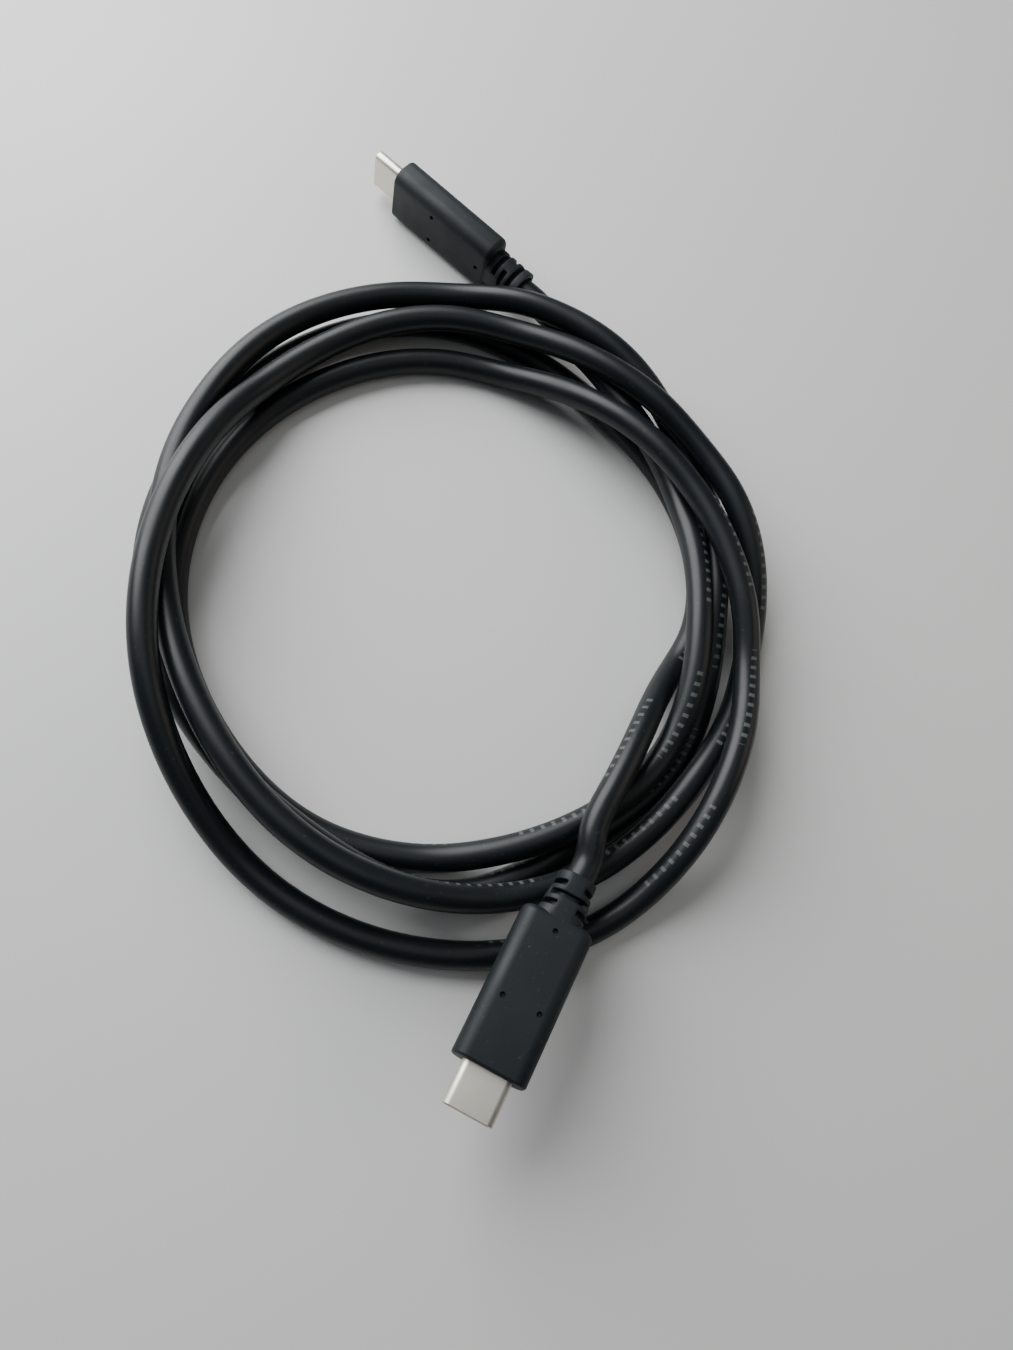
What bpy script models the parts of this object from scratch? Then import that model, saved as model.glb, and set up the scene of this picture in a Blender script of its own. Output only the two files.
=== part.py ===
"""Two-ended USB-C cable, lying in a loose round coil on a flat surface.

The cable is one long round-jacketed cord with a moulded plug on each end. Each plug is a
moulding with a ribbed strain relief, a metal shell that goes into the socket, and a plastic
insert inside the shell. Units are metres, +Z is up, and z = 0 is the surface that the coil
lies on. The origin is the middle of the coil's footprint on that surface.
"""
import math

import bmesh
import bpy
import numpy as np
from mathutils import Matrix, Vector

MM = 0.001

# Cable
CABLE_D = 4.8 * MM            # outside diameter of the round jacket
CABLE_SIDES_RES = 4           # bevel resolution: 12 sides round the jacket
STEPS_PER_TURN = 24           # straight pieces that one turn of the tube is read into
FIT_GAP = 0.3 * MM            # gap between pieces that touch or hold each other
LAY_GAP = 0.7 * MM            # gap between two strands where one crosses the other
BEND_R = 25.0 * MM            # radius of the cable's bend as it rises over a strand
RAMP = 0.4                    # steepest slope there, height over length
EVEN_OUT = 7.0 * MM           # length over which the heights are evened out
SAME_STRETCH = 3 * CABLE_D    # two places closer than this along the cable aren't two strands

# Plug moulding; a plug points along its own +X, is wide along Y and thin along Z
MOULD_L = 25.0 * MM
MOULD_W = 12.2 * MM
MOULD_T = 6.3 * MM
MOULD_SIDE_R = 2.4 * MM       # rounding of the four long edges
MOULD_REAR_R = 1.2 * MM       # rounding of the rear shoulders
MOULD_FRONT_R = 0.4 * MM      # broken edge round the front face
PIN_HOLE_D = 0.9 * MM         # marks of the pins that held the inner parts in the mould
PIN_HOLE_DEPTH = 0.6 * MM
PIN_PAIR_X = 10.2 * MM        # from the front face back to the pair of pin marks
PIN_PAIR_APART = 6.2 * MM
PIN_REAR_X = 22.4 * MM        # from the front face back to the single pin mark

# Strain relief, in one piece with the moulding
RELIEF_L = 7.2 * MM
RELIEF_ROOT_W = 8.0 * MM      # width and thickness where it leaves the moulding
RELIEF_ROOT_T = 6.0 * MM
RELIEF_END_D = 6.6 * MM       # diameter of the collar at the cable's end
COLLAR_L = 1.6 * MM
SLOT_L = 0.9 * MM             # length of a slot along the relief
SLOT_PITCH = 1.8 * MM
SLOT_CORE_R = 2.1 * MM        # half size of the core that the slots leave
SOCKET_DEPTH = 1.1 * MM       # how far the cable goes into the collar

# Metal shell and plastic insert of the USB-C plug
SHELL_W = 8.25 * MM
SHELL_T = 2.40 * MM
SHELL_WALL = 0.30 * MM
SHELL_OUT = 6.65 * MM         # length that stands out of the moulding
SHELL_IN = 1.5 * MM           # length inside the moulding
INSERT_GAP = 0.10 * MM
INSERT_BACK = 0.9 * MM        # how far the insert lies behind the shell's rim
INSERT_SLOT_W = 6.7 * MM
INSERT_SLOT_T = 0.8 * MM
INSERT_SLOT_DEPTH = 4.6 * MM

# Places below are in millimetres from the coil's centre, x to the right and y away from the viewer.
COIL_X, COIL_Y = -2.7 * MM, -7.1 * MM    # the coil's centre in the part's frame

# Where the plugs lie: middle of the moulding's front face, and heading, pitch and roll in degrees.
# Plug A stands on its narrow side. Plug B lies on the coil with its tip raised.
PLUG_A_X, PLUG_A_Y = -11.1 * MM, 91.2 * MM
PLUG_A_TURN = (139.2, 0.0, -90.0)
PLUG_B_X, PLUG_B_Y = 5.7 * MM, -74.5 * MM
PLUG_B_REST = 1.95            # height of the relief's end on the strands under it, in cable diameters
PLUG_B_TURN = (-117.9, 6.0, 4.0)

# The coil's route, clockwise from plug A. Each row is one turn, with the distance from the coil's centre
# to the cable's centre line at each hour of a clock face, from 1 o'clock to 12 o'clock.
TURNS = (
    (58.7, 49.7, 44.4, 44.7, 42.5, 42.0, 43.5, 44.5, 47.5, 50.5, 53.0, 54.2),
    (51.0, 50.8, 53.1, 55.5, 59.0, 57.5, 55.0, 52.0, 50.0, 51.0, 56.8, 60.6),
    (57.4, 58.3, 57.0, 51.8, 50.5, 49.0, 46.8, 45.2, 48.0, 55.4, 64.2, 66.4),
    (62.8, 56.2, 48.3, 48.4, 45.5, 48.0, 45.4, 46.5, 51.2, 56.0, 61.0, 62.4),
    (55.8, 52.0, 45.7),
)
HOUR = math.radians(30)
# The route between plug A and the coil, and between the coil and plug B
LEAD_A = ((17.2, 66.7),)
LEAD_B = ((39.5, -9.7), (33.9, -19.0), (26.8, -31.5), (23.2, -39.5))
# Which stretch lies on which. The hours go on counting through the turns and the last lead, and each
# stretch, up to its last hour, has its place in the pile, 0 for the one at the bottom.
PILE = ((1.5, 1), (5.75, 3), (13, 1), (25, 5), (37, 4), (47.5, 2), (52, 0), (53.4, 3), (99, 6))
LAY_ROUNDS = 12               # rounds in which the heights settle

# Materials: colour, roughness, metallic
JACKET = ("cable_jacket", (0.012, 0.013, 0.015), 0.42, 0.0)
MOULDING = ("plug_moulding", (0.010, 0.011, 0.013), 0.55, 0.0)
STEEL = ("plug_shell_steel", (0.62, 0.60, 0.56), 0.28, 1.0)
INSERT = ("plug_insert_plastic", (0.015, 0.015, 0.016), 0.5, 0.0)


def clear_scene():
    for old in list(bpy.data.objects):
        bpy.data.objects.remove(old, do_unlink=True)


def new_collection(name):
    made = bpy.data.collections.new(name)
    bpy.context.scene.collection.children.link(made)
    return made


def material(spec):
    name, colour, roughness, metallic = spec
    made = bpy.data.materials.get(name)
    if made is None:
        made = bpy.data.materials.new(name)
        made.use_nodes = True
        shader = made.node_tree.nodes["Principled BSDF"]
        shader.inputs["Base Color"].default_value = (*colour, 1.0)
        shader.inputs["Roughness"].default_value = roughness
        shader.inputs["Metallic"].default_value = metallic
    return made


def mesh_object(name, bm, spec, collection, parent=None):
    mesh = bpy.data.meshes.new(name)
    bm.to_mesh(mesh)
    bm.free()
    if spec is not None:
        mesh.materials.append(material(spec))
        mesh.shade_smooth()
        mesh.set_sharp_from_angle(angle=math.radians(35))
    made = bpy.data.objects.new(name, mesh)
    collection.objects.link(made)
    made.parent = parent
    return made


def cut(target, cutters, operation="DIFFERENCE"):
    """Takes each cutter out of the target, or joins it on."""
    for tool in cutters:
        tool.hide_render = True
        tool.display_type = "WIRE"
        boolean = target.modifiers.new(tool.name, "BOOLEAN")
        boolean.operation = operation
        boolean.object = tool
        boolean.solver = "EXACT"


def box_bmesh(x0, x1, width, thickness):
    """A box from x0 to x1, centred on Y and Z."""
    bm = bmesh.new()
    bmesh.ops.create_cube(bm, size=1.0)
    for v in bm.verts:
        v.co = Vector((x0 if v.co.x < 0 else x1, v.co.y * width, v.co.z * thickness))
    return bm


def is_long(edge):
    return abs(edge.verts[0].co.x - edge.verts[1].co.x) > 1e-6


def end_edges(bm, x):
    return [e for e in bm.edges if all(abs(v.co.x - x) < 1e-6 for v in e.verts)]


def bevel(bm, edges, radius, segments):
    bmesh.ops.bevel(bm, geom=edges, offset=radius, offset_type="OFFSET", segments=segments,
                    profile=0.5, affect="EDGES", clamp_overlap=True)


def round_box(x0, x1, width, thickness, radius, segments):
    """A box with its four long edges rounded."""
    bm = box_bmesh(x0, x1, width, thickness)
    bevel(bm, [e for e in bm.edges if is_long(e)], radius, segments)
    return bm


# The coil's route

def coil_points():
    """The centre line seen from above, at each hour of each turn."""
    radii = [radius * MM for turn in TURNS for radius in turn]
    angles = [math.radians(90) - hour * HOUR for hour in range(1, len(radii) + 1)]
    return [(r * math.cos(a), r * math.sin(a)) for r, a in zip(radii, angles)]


def lead_points(rows):
    return [(x * MM, y * MM) for x, y in rows]


def smooth_curve(points):
    """A function that reads the natural cubic spline through the points; 1.5 is half way past the second."""
    given = np.array(points)
    chord = np.linalg.norm(np.diff(given, axis=0), axis=1)
    count = len(given)
    system = np.eye(count)
    right = np.zeros_like(given)
    for i in range(1, count - 1):
        before, after = chord[i - 1], chord[i]
        system[i, i - 1:i + 2] = before, 2 * (before + after), after
        right[i] = 6 * ((given[i + 1] - given[i]) / after - (given[i] - given[i - 1]) / before)
    bend = np.linalg.solve(system, right)

    def at(place):
        i = min(int(place), count - 2)
        step = chord[i]
        past = (place - i) * step
        left = step - past
        value = (bend[i] * left ** 3 + bend[i + 1] * past ** 3) / (6 * step)
        value += (given[i] / step - bend[i] * step / 6) * left
        value += (given[i + 1] / step - bend[i + 1] * step / 6) * past
        return value

    return at


def pile_place(hour):
    return next(place for until, place in PILE if hour < until)


def lay_down(flat, hours, level):
    """Heights of the centre line: on the surface, and just over each strand that a stretch lies on.

    flat holds the route's points seen from above, and level the height that each one has at least.
    """
    steps = np.linalg.norm(np.diff(flat, axis=0), axis=1)
    along = np.concatenate([[0.0], np.cumsum(steps)])
    between = np.abs(along[:, None] - along)
    apart = np.linalg.norm(flat[:, None] - flat, axis=2)
    clear = CABLE_D + LAY_GAP
    place = np.array([pile_place(hour) for hour in hours])
    over = (apart < clear) & (between > SAME_STRETCH) & (place[:, None] > place)
    rise = np.sqrt(np.clip(clear ** 2 - apart ** 2, 0.0, None))
    round_part = np.minimum(between, RAMP * BEND_R)
    fall = round_part ** 2 / (2 * BEND_R) + RAMP * (between - round_part)
    height = level
    for _ in range(LAY_ROUNDS):
        need = np.maximum(np.where(over, height + rise, 0.0).max(axis=1), level)
        height = (need - fall).max(axis=1)
    return even_out(height, along)


def even_out(height, along):
    """The heights, averaged along the cable so that it bends softly; the ends stay."""
    step = along[-1] / (len(along) - 1)
    reach = max(1, round(EVEN_OUT / step))
    weight = np.hanning(2 * reach + 3)[1:-1]
    padded = np.pad(height, reach, mode="reflect", reflect_type="odd")
    return np.convolve(padded, weight / weight.sum(), mode="valid")


def route(start, end, reads=8):
    """The cable's centre line from collar to collar, read several times between its points."""
    ends = [(p.x, p.y) for p in start], [(p.x, p.y) for p in end]
    points = ends[0] + lead_points(LEAD_A) + coil_points() + lead_points(LEAD_B) + ends[1]
    at = smooth_curve(points)
    places = np.arange((len(points) - 1) * reads + 1) / reads
    flat = np.array([at(place) for place in places])
    first = len(start) + len(LEAD_A)
    level = np.full(len(places), CABLE_D / 2)
    level[:reads + 1] = np.linspace(start[0].z, start[1].z, reads + 1)
    level[-reads - 1:] = np.linspace(end[0].z, end[1].z, reads + 1)
    height = lay_down(flat, places - first + 1, level)
    return np.column_stack([flat, height]), places - first + 1


def cable_points(start, end):
    """The tube's points, at equal clock angles round the coil and closer at both ends."""
    line, hours = route(start, end)
    step = 12 / STEPS_PER_TURN
    turns_end = sum(len(turn) for turn in TURNS)
    wanted = [hours[0], hours[0] + 1] + list(np.arange(hours[0] + 1.5, 1, 0.25))
    wanted += list(np.arange(1, turns_end, step))
    wanted += list(np.arange(turns_end, hours[-1] - 1.1, 0.5)) + [hours[-1] - 1, hours[-1]]
    return [Vector([np.interp(hour, hours, line[:, axis]) for axis in range(3)]) for hour in wanted]


def make_cable(collection, parent, start, end):
    points = cable_points(start, end)
    curve = bpy.data.curves.new("cable", "CURVE")
    curve.dimensions = "3D"
    curve.bevel_depth = CABLE_D / 2
    curve.bevel_resolution = CABLE_SIDES_RES
    curve.use_fill_caps = True
    curve.twist_mode = "MINIMUM"
    spline = curve.splines.new("POLY")
    spline.points.add(len(points) - 1)
    for place, point in zip(spline.points, points):
        place.co = (*point, 1.0)
    curve.materials.append(material(JACKET))
    made = bpy.data.objects.new("cable", curve)
    made.parent = parent
    collection.objects.link(made)
    return made


# A plug

def plug_frame(place, turn):
    """The plug's own frame: origin in the middle of the moulding's front face, +X out of the mouth."""
    heading, pitch, roll = (math.radians(a) for a in turn)
    turned = Matrix.Rotation(heading, 3, "Z") @ Matrix.Rotation(-pitch, 3, "Y") @ Matrix.Rotation(roll, 3, "X")
    return Matrix.Translation(place) @ turned.to_4x4()


def plug_empty(name, collection, parent, frame):
    made = bpy.data.objects.new(name, None)
    collection.objects.link(made)
    made.parent = parent
    made.matrix_basis = frame
    return made


def section(width, thickness, radius):
    """The 24 points of a rounded rectangle across a plug, six on each corner."""
    points = []
    for corner in range(4):
        middle_y = math.copysign(width / 2 - radius, 1 if corner in (0, 3) else -1)
        middle_z = math.copysign(thickness / 2 - radius, 1 if corner in (0, 1) else -1)
        for step in range(6):
            angle = math.radians(90 * corner + 18 * step)
            points.append((middle_y + radius * math.cos(angle), middle_z + radius * math.sin(angle)))
    return points


def round_section(diameter):
    return section(diameter, diameter, diameter / 2 * 0.92)


def slotted(points, on_sides):
    """A section of the relief through a ring of slots: two opposite sides are drawn in to the core."""
    drawn = []
    for n, (y, z) in enumerate(points):
        at_side = (n + 3) % 12 < 6
        if at_side and on_sides:
            y = math.copysign(SLOT_CORE_R, y)
        if not at_side and not on_sides:
            z = math.copysign(SLOT_CORE_R, z)
        drawn.append((y, z))
    return drawn


def loft(sections):
    """A solid through sections of 24 points; where two sections share a point, so do their faces."""
    bm = bmesh.new()
    rings = []
    for x, points in sections:
        ring = []
        for n, (y, z) in enumerate(points):
            spot = Vector((x, y, z))
            same = rings and (rings[-1][n].co - spot).length < 0.001 * MM
            ring.append(rings[-1][n] if same else bm.verts.new(spot))
        rings.append(ring)
    for near, far in zip(rings, rings[1:]):
        for n in range(len(near)):
            corners = list(dict.fromkeys((near[n - 1], near[n], far[n], far[n - 1])))
            if len(corners) > 2:
                bm.faces.new(corners)
    bm.faces.new(rings[0])
    bm.faces.new(rings[-1])
    bmesh.ops.recalc_face_normals(bm, faces=bm.faces)
    return bm


def relief_section(x):
    """The relief tapers evenly from its root, flatter than it is wide, to its round collar."""
    share = (-MOULD_L - x) / (RELIEF_L - COLLAR_L)
    share = min(max(share, 0.0), 1.0)
    width = RELIEF_ROOT_W + (RELIEF_END_D - RELIEF_ROOT_W) * share
    thickness = RELIEF_ROOT_T + (RELIEF_END_D - RELIEF_ROOT_T) * share
    return section(width, thickness, min(width, thickness) / 2 * 0.92)


def relief_bmesh():
    """The strain relief: three rings of paired slots, a quarter turn apart, and the collar."""
    end = -MOULD_L - RELIEF_L
    root = -MOULD_L + MOULD_REAR_R + FIT_GAP
    sections = [(root, relief_section(root))]
    for ring in (2, 1, 0):
        low = end + COLLAR_L + SLOT_PITCH * ring
        high = low + SLOT_L
        on_sides = ring != 1
        sections.append((high, relief_section(high)))
        sections.append((high, slotted(relief_section(high), on_sides)))
        sections.append((low, slotted(relief_section(low), on_sides)))
        sections.append((low, relief_section(low)))
    socket = round_section(CABLE_D + 2 * FIT_GAP)
    sections += [(end, relief_section(end)), (end, socket), (end + SOCKET_DEPTH + FIT_GAP, socket)]
    return loft(sections)


def cylinder_bmesh(radius, depth, matrix, segments):
    bm = bmesh.new()
    bmesh.ops.create_cone(bm, cap_ends=True, segments=segments, radius1=radius, radius2=radius,
                          depth=depth, matrix=matrix)
    return bm


def pin_cutters(plug, cutters, empty):
    """Pin marks on both flat faces of the moulding."""
    spots = ((-PIN_PAIR_X, PIN_PAIR_APART / 2), (-PIN_PAIR_X, -PIN_PAIR_APART / 2), (-PIN_REAR_X, 0.0))
    made = []
    for face in (-1, 1):
        for n, (x, y) in enumerate(spots):
            where = Matrix.Translation((x, y, face * MOULD_T / 2))
            bm = cylinder_bmesh(PIN_HOLE_D / 2, 2 * PIN_HOLE_DEPTH, where, 12)
            made.append(mesh_object(f"{plug}_pin_cutter_{face}_{n}", bm, None, cutters, empty))
    return made


def make_overmold(plug, collection, cutters, empty):
    """The plug's moulding with its strain relief, as one body."""
    bm = round_box(-MOULD_L, 0.0, MOULD_W, MOULD_T, MOULD_SIDE_R, 4)
    bevel(bm, end_edges(bm, -MOULD_L), MOULD_REAR_R, 3)
    bevel(bm, end_edges(bm, 0.0), MOULD_FRONT_R, 1)
    body = mesh_object(f"{plug}_overmold", bm, MOULDING, collection, empty)
    relief = mesh_object(f"{plug}_relief_join", relief_bmesh(), None, cutters, empty)
    pocket_bm = round_box(-SHELL_IN - FIT_GAP, MOULD_T, SHELL_W + 2 * FIT_GAP, SHELL_T + 2 * FIT_GAP,
                          (SHELL_T / 2 + FIT_GAP) * 0.98, 5)
    pocket = mesh_object(f"{plug}_pocket_cutter", pocket_bm, None, cutters, empty)
    cut(body, [relief], "UNION")
    cut(body, [pocket])
    cut(body, pin_cutters(plug, cutters, empty))
    return body


def make_shell(plug, collection, empty):
    """The metal shell: a flattened tube, open at both ends."""
    bm = round_box(-SHELL_IN, SHELL_OUT, SHELL_W, SHELL_T, SHELL_T / 2 * 0.98, 6)
    ends = [f for f in bm.faces if abs(f.normal.x) > 0.9]
    bmesh.ops.delete(bm, geom=ends, context="FACES_ONLY")
    made = mesh_object(f"{plug}_shell", bm, STEEL, collection, empty)
    wall = made.modifiers.new("wall", "SOLIDIFY")
    wall.thickness = SHELL_WALL
    wall.offset = -1.0
    wall.use_even_offset = True
    return made


def make_insert(plug, collection, cutters, empty):
    """The plastic insert that lines the shell, with the slot that takes the socket's tongue."""
    width = SHELL_W - 2 * (SHELL_WALL + INSERT_GAP)
    thickness = SHELL_T - 2 * (SHELL_WALL + INSERT_GAP)
    front = SHELL_OUT - INSERT_BACK
    bm = round_box(-SHELL_IN, front, width, thickness, thickness / 2 * 0.95, 4)
    made = mesh_object(f"{plug}_insert", bm, INSERT, collection, empty)
    slot_bm = box_bmesh(front - INSERT_SLOT_DEPTH, front + 1.0 * MM, INSERT_SLOT_W, INSERT_SLOT_T)
    slot = mesh_object(f"{plug}_tongue_cutter", slot_bm, None, cutters, empty)
    cut(made, [slot])
    return made


def make_plug(plug, collection, cutters, parent, frame):
    empty = plug_empty(f"{plug}_frame", collection, parent, frame)
    make_overmold(plug, collection, cutters, empty)
    make_shell(plug, collection, empty)
    make_insert(plug, collection, cutters, empty)


def cable_exit(frame):
    """Where the cable ends in the plug's collar, and a point straight out of it."""
    seat = -MOULD_L - RELIEF_L + SOCKET_DEPTH
    return [frame @ Vector((seat, 0, 0)), frame @ Vector((seat - 1.2 * CABLE_D, 0, 0))]


def main():
    clear_scene()
    parts = new_collection("usb_c_cable")
    cutters = new_collection("cutters")
    coil = plug_empty("coil_centre", parts, None, Matrix.Translation((COIL_X, COIL_Y, 0)))
    tail = (MOULD_L + RELIEF_L) * math.sin(math.radians(PLUG_B_TURN[1]))
    plug_a = plug_frame((PLUG_A_X, PLUG_A_Y, MOULD_W / 2), PLUG_A_TURN)
    plug_b = plug_frame((PLUG_B_X, PLUG_B_Y, CABLE_D * (0.5 + PLUG_B_REST) + tail), PLUG_B_TURN)
    make_plug("plug_a", parts, cutters, coil, plug_a)
    make_plug("plug_b", parts, cutters, coil, plug_b)
    make_cable(parts, coil, cable_exit(plug_a), cable_exit(plug_b)[::-1])


main()
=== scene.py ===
# %% [markdown]
# # A USB-C cable in a loose coil
#
# This lesson dresses a plain solid model of a charging cable until it looks like the real thing on a table.
# The solids already have the right sizes and places. Here the cable gets a smooth jacket, both plugs get
# soft moulded edges, ribbed strain reliefs, metal shells and contacts, and everything gets a finish.
# All sizes are in metres, written as millimetres times MM, and +Z is up.

# %% Tools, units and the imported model
import math

import bmesh
import bpy
import numpy as np
from mathutils import Matrix, Vector


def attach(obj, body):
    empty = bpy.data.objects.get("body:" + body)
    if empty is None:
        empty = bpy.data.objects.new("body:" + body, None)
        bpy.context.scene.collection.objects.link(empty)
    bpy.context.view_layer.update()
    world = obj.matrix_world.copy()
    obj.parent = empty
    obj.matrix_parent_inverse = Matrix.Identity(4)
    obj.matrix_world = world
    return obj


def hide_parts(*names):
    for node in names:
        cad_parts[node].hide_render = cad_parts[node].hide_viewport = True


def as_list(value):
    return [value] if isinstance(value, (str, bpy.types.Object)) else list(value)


MM = 0.001

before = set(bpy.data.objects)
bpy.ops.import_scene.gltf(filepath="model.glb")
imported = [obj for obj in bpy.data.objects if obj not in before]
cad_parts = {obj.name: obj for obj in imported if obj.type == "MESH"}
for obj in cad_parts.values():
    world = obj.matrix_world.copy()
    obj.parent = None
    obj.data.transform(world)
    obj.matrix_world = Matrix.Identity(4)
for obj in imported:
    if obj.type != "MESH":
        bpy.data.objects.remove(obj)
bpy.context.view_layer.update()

# %% [markdown]
# ## The camera
#
# The photograph looks down on the coil from a hand's height, a little from the left and from the front.
# The camera's place was found from the two plugs, whose metal shells have a standard width. Its lens is
# worked out from the focal length in pixels and the long side of the picture.

# %% Camera
PHOTO_LONG_SIDE = 1350        # pixels
FOCAL_LENGTH = 1014           # pixels
LOOK_AT = Vector((8.47, -15.54, 0.0)) * MM
CAMERA_AT = Vector((-21.4, -70.4, 173.1)) * MM


def aim(thing, place, target):
    """Puts a camera or a light at a place and turns it to a target, with +Y up in its picture."""
    back = (place - target).normalized()
    right = Vector((0, 1, 0)).cross(back).normalized()
    up = back.cross(right)
    turned = Matrix((right, up, back)).transposed().to_4x4()
    thing.matrix_world = Matrix.Translation(place) @ turned


camera_data = bpy.data.cameras.new("camera")
camera_data.sensor_width = 36
camera_data.lens = camera_data.sensor_width * FOCAL_LENGTH / PHOTO_LONG_SIDE
camera_data.clip_start = 10 * MM
camera_data.clip_end = 10
camera = bpy.data.objects.new("camera", camera_data)
bpy.context.scene.collection.objects.link(camera)
bpy.context.scene.camera = camera
aim(camera, CAMERA_AT, LOOK_AT)
print("Camera lens:", round(camera_data.lens, 1), "mm")

# %% [markdown]
# ## Where the plugs lie
#
# Each plug is modelled in a frame of its own: its origin is the middle of the moulding's front face, and +X
# points out of the mouth. One matrix then carries it to its place. The first plug stands on its narrow side,
# and the second lies on top of the coil with its tip raised.

# %% Sizes and places of the plugs
CABLE_D = 4.8 * MM
MOULD_L = 25.0 * MM
MOULD_W = 12.2 * MM
MOULD_T = 6.3 * MM
RELIEF_L = 7.2 * MM
SOCKET_DEPTH = 1.1 * MM       # how far the cable goes into the relief
STRAIGHT_OUT = 1.2 * CABLE_D  # length of cable that leaves the relief without a bend

COIL = Matrix.Translation((-2.7 * MM, -7.1 * MM, 0))
PLUG_A_X, PLUG_A_Y = -11.1 * MM, 91.2 * MM
PLUG_A_TURN = (139.2, 0.0, -90.0)        # heading, pitch and roll in degrees
PLUG_B_X, PLUG_B_Y = 5.7 * MM, -74.5 * MM
PLUG_B_REST = 1.95            # height of the relief's end on the strands under it, in cable diameters
PLUG_B_TURN = (-117.9, 6.0, 4.0)


def plug_frame(place, turn):
    heading, pitch, roll = (math.radians(a) for a in turn)
    turned = Matrix.Rotation(heading, 3, "Z") @ Matrix.Rotation(-pitch, 3, "Y")
    turned = turned @ Matrix.Rotation(roll, 3, "X")
    return Matrix.Translation(place) @ turned.to_4x4()


def cable_exit(plug):
    """Where the cable ends in the plug's relief, and a point straight out of it."""
    seat = -MOULD_L - RELIEF_L + SOCKET_DEPTH
    return [plug @ Vector((seat, 0, 0)), plug @ Vector((seat - STRAIGHT_OUT, 0, 0))]


plug_b_tail = (MOULD_L + RELIEF_L) * math.sin(math.radians(PLUG_B_TURN[1]))
PLUG_A = plug_frame((PLUG_A_X, PLUG_A_Y, MOULD_W / 2), PLUG_A_TURN)
PLUG_B = plug_frame((PLUG_B_X, PLUG_B_Y, CABLE_D * (0.5 + PLUG_B_REST) + plug_b_tail), PLUG_B_TURN)
PLUGS = {"plug_a": COIL @ PLUG_A, "plug_b": COIL @ PLUG_B}

# %% [markdown]
# ## The cable's route
#
# A real cable has one length, and it lies where its weight and its neighbours let it. The route is drawn from
# above first: the distance from the coil's centre at each hour of a clock face, turn after turn. A cubic
# spline joins the points, because a cable bends smoothly. The heights come next. A strand lies on the table,
# or just over each strand that is under it in the pile, and it comes down again in a long low hump.

# %% The route seen from above
LAY_GAP = 0.7 * MM            # gap between two strands where one crosses the other
BEND_R = 25.0 * MM            # radius of the cable's bend as it rises over a strand
RAMP = 0.4                    # steepest slope there, height over length
EVEN_OUT = 7.0 * MM           # length over which the heights are evened out
SAME_STRETCH = 3 * CABLE_D    # two places closer than this along the cable aren't two strands
HOUR = math.radians(30)

# Distances in millimetres; each row is one turn, from 1 o'clock to 12 o'clock
TURNS = (
    (58.7, 49.7, 44.4, 44.7, 42.5, 42.0, 43.5, 44.5, 47.5, 50.5, 53.0, 54.2),
    (51.0, 50.8, 53.1, 55.5, 59.0, 57.5, 55.0, 52.0, 50.0, 51.0, 56.8, 60.6),
    (57.4, 58.3, 57.0, 51.8, 50.5, 49.0, 46.8, 45.2, 48.0, 55.4, 64.2, 66.4),
    (62.8, 56.2, 48.3, 48.4, 45.5, 48.0, 45.4, 46.5, 51.2, 56.0, 61.0, 62.4),
    (55.8, 52.0, 45.7),
)
LEAD_A = ((17.2, 66.7),)
LEAD_B = ((39.5, -9.7), (33.9, -19.0), (26.8, -31.5), (23.2, -39.5))

# Each stretch of the cable, up to its last hour, has its place in the pile; 0 is the bottom
PILE = ((1.5, 1), (5.75, 3), (13, 1), (25, 5), (37, 4), (47.5, 2), (52, 0), (53.4, 3), (99, 6))
LAY_ROUNDS = 12               # rounds in which the heights settle


def coil_points():
    radii = [radius * MM for turn in TURNS for radius in turn]
    angles = [math.radians(90) - hour * HOUR for hour in range(1, len(radii) + 1)]
    return [(r * math.cos(a), r * math.sin(a)) for r, a in zip(radii, angles)]


def lead_points(rows):
    return [(x * MM, y * MM) for x, y in rows]


def smooth_curve(points):
    """A function that reads the natural cubic spline through the points; 1.5 is half way past the second."""
    given = np.array(points)
    chord = np.linalg.norm(np.diff(given, axis=0), axis=1)
    count = len(given)
    system = np.eye(count)
    right = np.zeros_like(given)
    for i in range(1, count - 1):
        before, after = chord[i - 1], chord[i]
        system[i, i - 1:i + 2] = before, 2 * (before + after), after
        right[i] = 6 * ((given[i + 1] - given[i]) / after - (given[i] - given[i - 1]) / before)
    bend = np.linalg.solve(system, right)

    def at(place):
        i = min(int(place), count - 2)
        step = chord[i]
        past = (place - i) * step
        left = step - past
        value = (bend[i] * left ** 3 + bend[i + 1] * past ** 3) / (6 * step)
        value += (given[i] / step - bend[i] * step / 6) * left
        value += (given[i + 1] / step - bend[i + 1] * step / 6) * past
        return value

    return at


# %% The heights of the route
def pile_place(hour):
    return next(place for until, place in PILE if hour < until)


def even_out(height, along):
    """The heights, averaged along the cable so that it bends softly; the ends stay."""
    step = along[-1] / (len(along) - 1)
    reach = max(1, round(EVEN_OUT / step))
    weight = np.hanning(2 * reach + 3)[1:-1]
    padded = np.pad(height, reach, mode="reflect", reflect_type="odd")
    return np.convolve(padded, weight / weight.sum(), mode="valid")


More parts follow.
